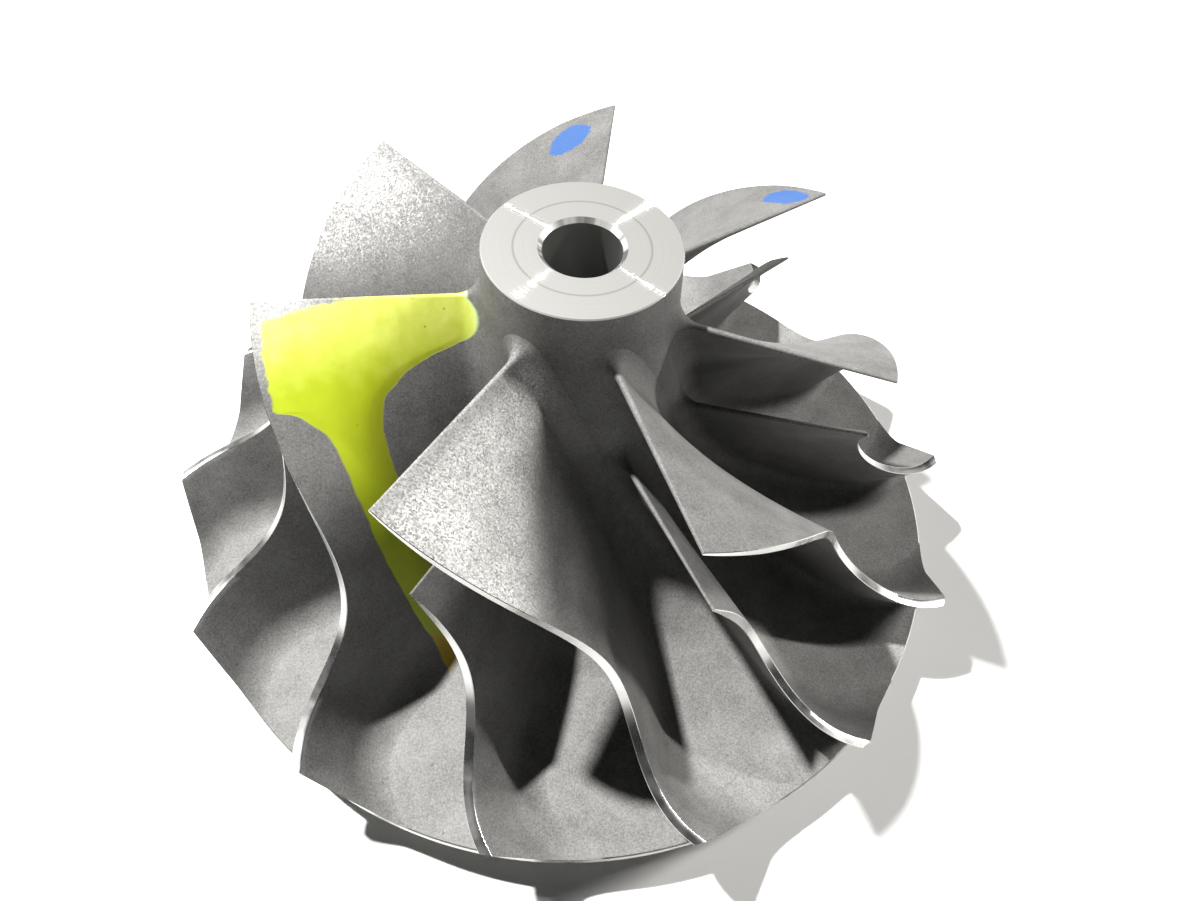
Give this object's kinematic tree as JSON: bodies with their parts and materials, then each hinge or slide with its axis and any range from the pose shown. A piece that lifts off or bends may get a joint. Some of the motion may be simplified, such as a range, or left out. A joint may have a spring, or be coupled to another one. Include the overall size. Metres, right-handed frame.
{
  "type": "compressor wheel",
  "caption": "Turbocharger compressor wheel: an aluminium casting with a bored nose, a trumpet hub on a thin back disc, and swept full blades with shorter splitter blades between them.",
  "frame": {"origin": "centre of the back face that the wheel stands on, on the shaft's axis", "axes": "+Z along the shaft's axis from the back face to the nose; the blades' phase about it is the one in the picture, whose camera stands towards -Y"},
  "size_m": [0.0952, 0.0948, 0.0484],
  "materials": {
    "cast_aluminium": "cast, fine grained",
    "machined_aluminium": "turned, bright"
  },
  "bodies": {
    "root": {"nose": "machined_aluminium", "hub": "cast_aluminium", "hub_flare": "cast_aluminium", "back_disc": "cast_aluminium", "back_boss": "machined_aluminium", "full_blade_1": "cast_aluminium", "full_blade_2": "cast_aluminium", "full_blade_3": "cast_aluminium", "full_blade_4": "cast_aluminium", "full_blade_5": "cast_aluminium", "full_blade_6": "cast_aluminium", "full_blade_7": "cast_aluminium", "splitter_blade_1": "cast_aluminium", "splitter_blade_2": "cast_aluminium", "splitter_blade_3": "cast_aluminium", "splitter_blade_4": "cast_aluminium", "splitter_blade_5": "cast_aluminium", "splitter_blade_6": "cast_aluminium", "splitter_blade_7": "cast_aluminium"}
  },
  "joints": []
}
